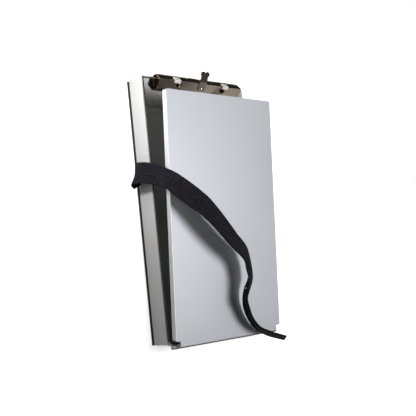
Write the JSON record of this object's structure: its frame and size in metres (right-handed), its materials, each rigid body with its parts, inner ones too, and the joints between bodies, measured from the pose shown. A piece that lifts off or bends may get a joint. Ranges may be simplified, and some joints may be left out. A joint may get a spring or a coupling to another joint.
{
  "type": "storage clipboard box",
  "caption": "Shallow sheet-aluminium box with a side-hinged lid, a spring paper clip, an end-hinged writing cover and a webbing leg strap.",
  "frame": {"origin": "centre of the tray's flat back face", "axes": "+X to the right across the case, +Y along the case to the clip end, +Z out of the front"},
  "size_m": [0.179, 0.3227, 0.0857],
  "materials": {
    "tray_aluminium": "satin anodised sheet, bright at the folded edges",
    "lid_aluminium": "smooth mill-finish sheet, darker and glossier than the cover",
    "cover_aluminium": "fine satin anodised sheet, matt",
    "case_rivets": "turned aluminium, slightly scuffed heads",
    "hinge_steel": "rolled steel with a light drawn grain",
    "clip_nickel": "nickel-plated spring steel, brownish grey and reflective",
    "bright_nickel": "bright nickel plate",
    "spring_wire": "drawn spring wire",
    "black_webbing": "fine black woven webbing with crosswise ribs",
    "black_hook": "black hook-and-loop tape, matt and grainy"
  },
  "bodies": {
    "tray": {"tray_shell": "tray_aluminium", "tray_corner_rivets": "case_rivets", "strap_anchor_plate": "hinge_steel", "strap_anchor_rivets": "case_rivets", "strap_webbing": "black_webbing", "strap_hook_patch": "black_hook", "tray_hinge_leaf": "hinge_steel", "tray_hinge_rivets": "case_rivets"},
    "lid": {"lid_plate": "lid_aluminium", "lid_hinge_leaf": "hinge_steel", "lid_hinge_rivets": "case_rivets", "lid_hinge_pin": "hinge_steel", "cover_hinge_lower_leaf": "hinge_steel", "riser_rivets": "case_rivets", "cover_hinge_pin": "hinge_steel", "clip_base": "clip_nickel", "clip_base_rivets": "case_rivets", "clip_rod": "bright_nickel", "clip_spring_left": "spring_wire", "clip_spring_right": "spring_wire"},
    "cover": {"cover_panel": "cover_aluminium", "cover_hinge_upper_leaf": "hinge_steel", "cover_rivets": "case_rivets"},
    "jaw": {"clip_jaw": "clip_nickel", "clip_strap_left": "bright_nickel", "clip_strap_right": "bright_nickel", "thumb_lever": "clip_nickel", "lever_rivet": "bright_nickel"}
  },
  "joints": [
    {"name": "lid_hinge", "type": "hinge", "parent": "tray", "child": "lid", "pos_m": [0.0758, 0, 0.0222], "axis": [0, 1, 0], "range_deg": [0, 95], "deforming": ["strap_webbing", "strap_hook_patch"]},
    {"name": "cover_hinge", "type": "hinge", "parent": "lid", "child": "cover", "pos_m": [0, -0.1524, 0.033], "axis": [1, 0, 0], "range_deg": [-7.3, 174.5], "deforming": ["strap_webbing", "strap_hook_patch"]},
    {"name": "clip_pivot", "type": "hinge", "parent": "lid", "child": "jaw", "pos_m": [0, 0.1451, 0.0317], "axis": [-1, 0, 0], "range_deg": [0, 28], "stiffness_Nm_per_rad": 0.3, "springref_deg": -68.75, "deforming": ["clip_spring_left", "clip_spring_right"]}
  ]
}
